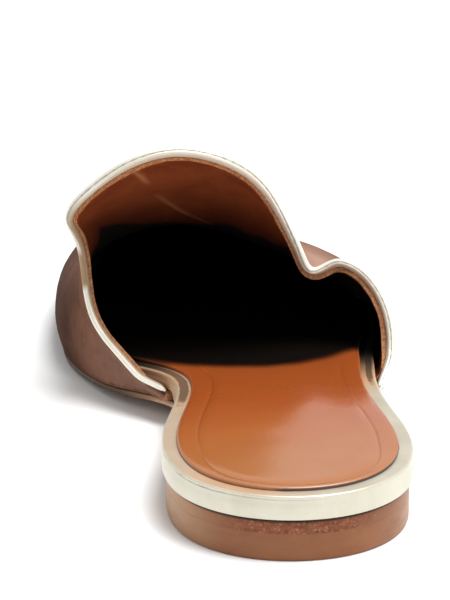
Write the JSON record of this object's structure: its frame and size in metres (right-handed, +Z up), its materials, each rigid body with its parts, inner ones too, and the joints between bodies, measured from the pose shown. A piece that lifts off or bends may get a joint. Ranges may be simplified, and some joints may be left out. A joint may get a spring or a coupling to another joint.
{
  "type": "mule",
  "caption": "Flat backless slip-on shoe for the right foot, with a hollow closed vamp, a wrapped insole, a thin outsole and a low heel block.",
  "frame": {"origin": "middle of the shoe's box on the floor it stands on", "axes": "+Y from heel to toe, +X to the little-toe side, +Z up"},
  "size_m": [0.0868, 0.2602, 0.0686],
  "materials": {
    "sole leather": "matt",
    "heel leather": "satin",
    "insole board": "matt",
    "gold leather": "satin",
    "lining leather": "satin",
    "suede": "matt"
  },
  "bodies": {
    "root": {"outsole": "sole leather", "heel": "heel leather", "insole_board": "insole board", "insole_wrap": "gold leather", "sock_lining": "lining leather", "upper": "suede", "collar_piping": "gold leather"}
  },
  "joints": []
}
